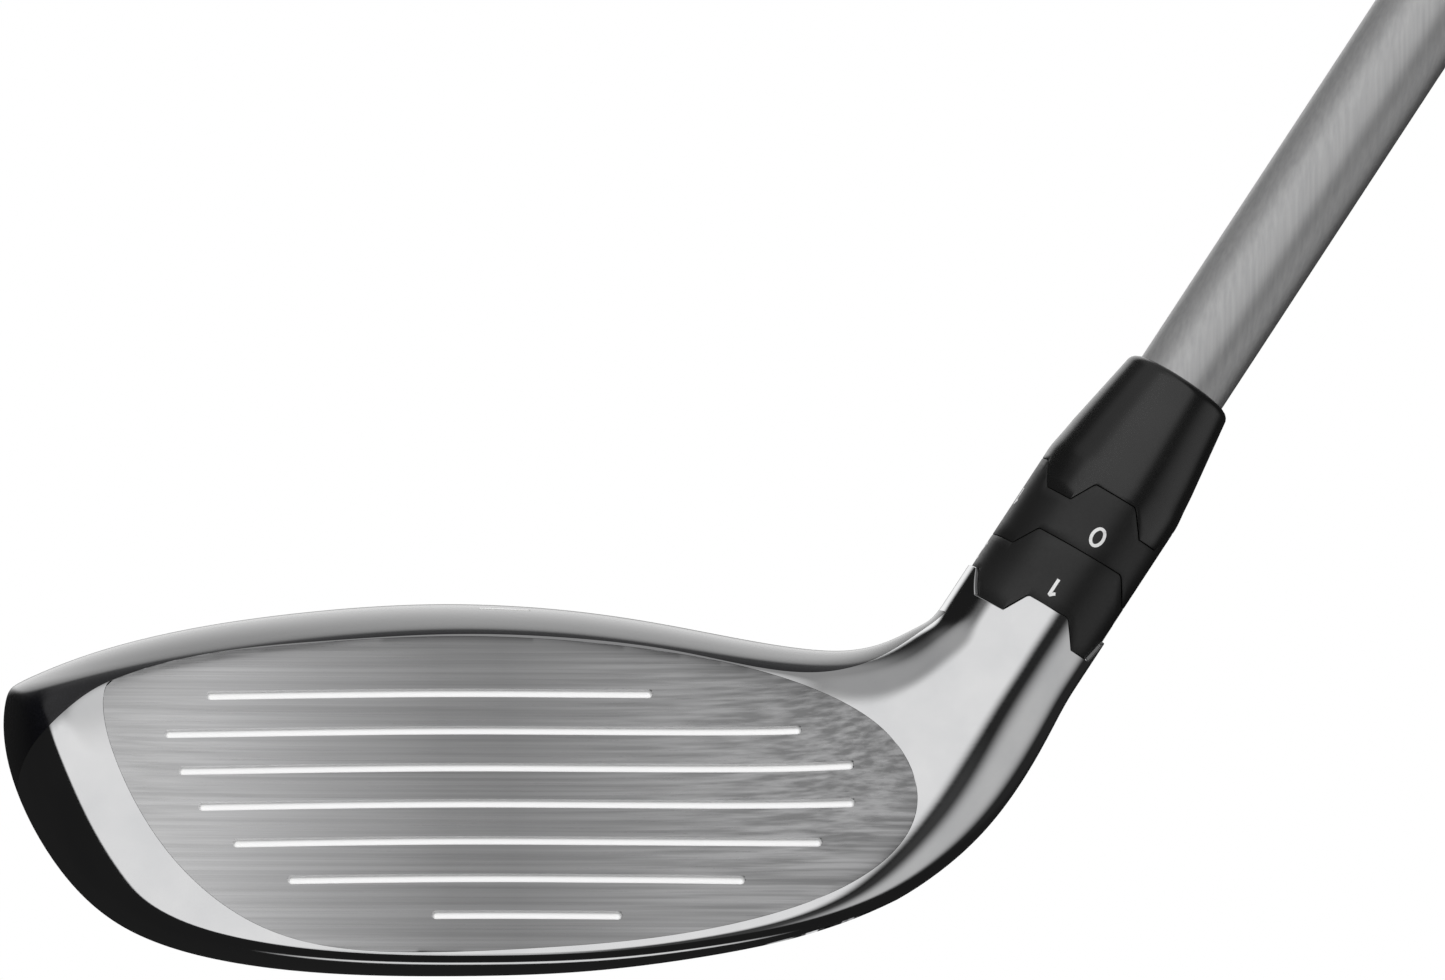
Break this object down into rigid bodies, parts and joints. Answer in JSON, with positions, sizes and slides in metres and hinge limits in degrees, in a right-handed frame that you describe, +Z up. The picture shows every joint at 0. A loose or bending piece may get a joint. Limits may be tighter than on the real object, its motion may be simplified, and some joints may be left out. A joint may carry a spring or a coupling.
{
  "type": "hybrid golf club",
  "caption": "Right-handed hybrid golf club: hollow steel head with a grooved face, an adjustable toothed hosel, a tapered shaft and a rubber grip.",
  "frame": {"origin": "the ground point under the centre of the face, where the sole rests", "axes": "+Z up, -Y the way the face looks, +X from toe to heel; the shaft axis lies in the plane y = 0"},
  "size_m": [0.6409, 0.0638, 0.843],
  "materials": {
    "polished_steel": "mirror-polished stainless steel",
    "brushed_steel": "fine horizontal brushing",
    "black_paint": "glossy black lacquer on a composite cap",
    "badge": "dark satin plate",
    "tungsten": "sintered tungsten",
    "damping": "soft urethane",
    "weight_metal": "machined weight screw",
    "screw_steel": "machined steel",
    "washer": "nylon washer",
    "sleeve_metal": "machined sleeve",
    "black_anodised": "satin black anodised",
    "ferrule_black": "satin black moulding",
    "ring_rubber": "nitrile ring",
    "shaft_grey": "satin silver-grey lacquer on graphite",
    "tip_plug": "moulded plug",
    "tape": "double-sided grip tape",
    "grip_rubber": "moulded rubber"
  },
  "bodies": {
    "head": {"head_shell": "polished_steel", "face_plate": "brushed_steel", "crown_cap": "black_paint", "sole_badge": "badge", "toe_weight": "tungsten", "damping_pad": "damping"},
    "shaft_assembly": {"adapter_sleeve": "sleeve_metal", "thread_insert": "screw_steel", "ferrule": "ferrule_black", "shaft": "shaft_grey", "tip_plug": "tip_plug", "tip_weight": "tungsten", "grip_tape": "tape", "grip": "grip_rubber", "grip_cap": "grip_rubber"},
    "cog_ring": {"cog_retaining_ring": "ring_rubber"},
    "upper_cog": {"upper_cog": "black_anodised"},
    "lower_cog": {"lower_cog": "black_anodised"},
    "screw_washer": {"screw_washer": "washer"},
    "retaining_screw": {"retaining_screw": "screw_steel"},
    "weight_washer": {"weight_washer": "washer"},
    "rear_weight": {"rear_weight": "weight_metal"}
  },
  "joints": [
    {"name": "adapter_lift", "type": "slide", "parent": "head", "child": "shaft_assembly", "axis": [0.5519, 0, 0.8339], "range_m": [0, 0.05]},
    {"name": "cog_ring_slide", "type": "slide", "parent": "shaft_assembly", "child": "cog_ring", "axis": [-0.5519, 0, -0.8339], "range_m": [0, 0.0225]},
    {"name": "upper_cog_turn", "type": "hinge", "parent": "cog_ring", "child": "upper_cog", "pos_m": [0.05507, 0, 0.0424], "axis": [0.5519, 0, 0.8339], "range_deg": [0, 90]},
    {"name": "lower_cog_turn", "type": "hinge", "parent": "cog_ring", "child": "lower_cog", "pos_m": [0.05176, 0, 0.0374], "axis": [0.5519, 0, 0.8339], "range_deg": [0, 90]},
    {"name": "screw_travel", "type": "slide", "parent": "head", "child": "screw_washer", "axis": [-0.5519, 0, -0.8339], "range_m": [0, 0.0064]},
    {"name": "screw_turn", "type": "hinge", "parent": "screw_washer", "child": "retaining_screw", "pos_m": [0.03583, 0, 0.01334], "axis": [-0.5519, 0, -0.8339], "range_deg": [0, 2880]},
    {"name": "weight_travel", "type": "slide", "parent": "head", "child": "weight_washer", "axis": [0, 0.2924, -0.9563], "range_m": [0, 0.004]},
    {"name": "weight_turn", "type": "hinge", "parent": "weight_washer", "child": "rear_weight", "pos_m": [-0.004, 0.033, 0], "axis": [0, 0.2924, -0.9563], "range_deg": [0, 1800]}
  ],
  "couplings": [
    {"joint": "cog_ring_slide", "follows": "adapter_lift", "ratio": 0.45},
    {"joint": "upper_cog_turn", "follows": "adapter_lift", "rad_per_m": 31.41},
    {"joint": "lower_cog_turn", "follows": "adapter_lift", "rad_per_m": 31.41},
    {"joint": "screw_turn", "follows": "screw_travel", "rad_per_m": 7854},
    {"joint": "weight_turn", "follows": "weight_travel", "rad_per_m": 7854}
  ]
}
